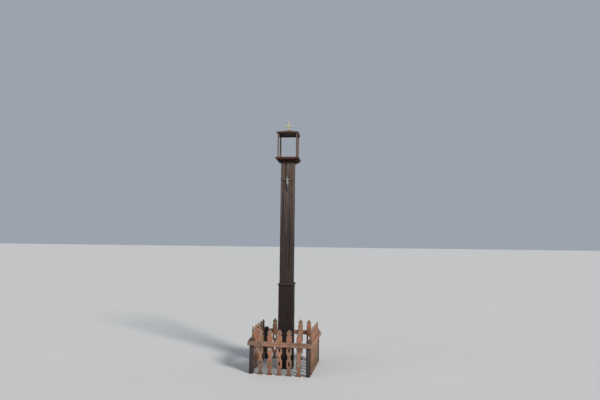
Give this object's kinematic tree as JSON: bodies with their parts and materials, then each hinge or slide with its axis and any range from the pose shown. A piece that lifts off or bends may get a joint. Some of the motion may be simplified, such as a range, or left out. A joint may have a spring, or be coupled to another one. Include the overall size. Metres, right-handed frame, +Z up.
{
  "type": "wayside shrine",
  "caption": "Timber post with an open roofed head and a cross on top, a small crucifix on its face, and a low fence of ornamental pickets round its foot.",
  "frame": {"origin": "centre of the post's foot, on the ground", "axes": "+Z up along the post, the crucifix side faces -Y, +X to the right of someone who faces it"},
  "size_m": [0.8308, 0.8308, 3.029],
  "materials": {
    "post_wood": "weathered grey-brown timber",
    "casing_wood": "weathered brown boards",
    "tray_wood": "worn red-brown stain",
    "head_wood": "weathered grey-brown timber",
    "roof_wood": "dark red-brown stain",
    "block_wood": "lighter brown timber",
    "cross_metal": "pale yellow-white paint on cast metal",
    "crucifix_iron": "dark painted iron",
    "figure_metal": "pale dull casting",
    "picket_paint": "sawn boards with worn red-brown paint",
    "rail_wood": "weathered pale board",
    "fence_post_wood": "bare grey timber"
  },
  "bodies": {
    "root": {"casing_board_back": "casing_wood", "casing_board_front": "casing_wood", "casing_board_left": "casing_wood", "casing_board_right": "casing_wood", "casing_cap_back": "casing_wood", "casing_cap_front": "casing_wood", "casing_cap_left": "casing_wood", "casing_cap_right": "casing_wood", "ceiling_board": "roof_wood", "crucifix_cross": "crucifix_iron", "crucifix_figure": "figure_metal", "crucifix_plate": "figure_metal", "eave_board_back": "roof_wood", "eave_board_front": "roof_wood", "eave_board_left": "roof_wood", "eave_board_right": "roof_wood", "fence_pickets_back": "picket_paint", "fence_pickets_front": "picket_paint", "fence_pickets_left": "picket_paint", "fence_pickets_right": "picket_paint", "fence_posts_back": "fence_post_wood", "fence_posts_front": "fence_post_wood", "fence_rail_back": "rail_wood", "fence_rail_front": "rail_wood", "fence_rail_left": "rail_wood", "fence_rail_right": "rail_wood", "finial_block": "block_wood", "head_plates_front_back": "roof_wood", "head_plates_left_right": "roof_wood", "head_post_back_left": "head_wood", "head_post_back_right": "head_wood", "head_post_front_left": "head_wood", "head_post_front_right": "head_wood", "post": "post_wood", "roof_board_back": "roof_wood", "roof_board_front": "roof_wood", "roof_board_left": "roof_wood", "roof_board_right": "roof_wood", "roof_cross": "cross_metal", "tray_board": "tray_wood", "tray_moulding_back": "tray_wood", "tray_moulding_front": "tray_wood", "tray_moulding_left": "tray_wood", "tray_moulding_right": "tray_wood"}
  },
  "joints": []
}
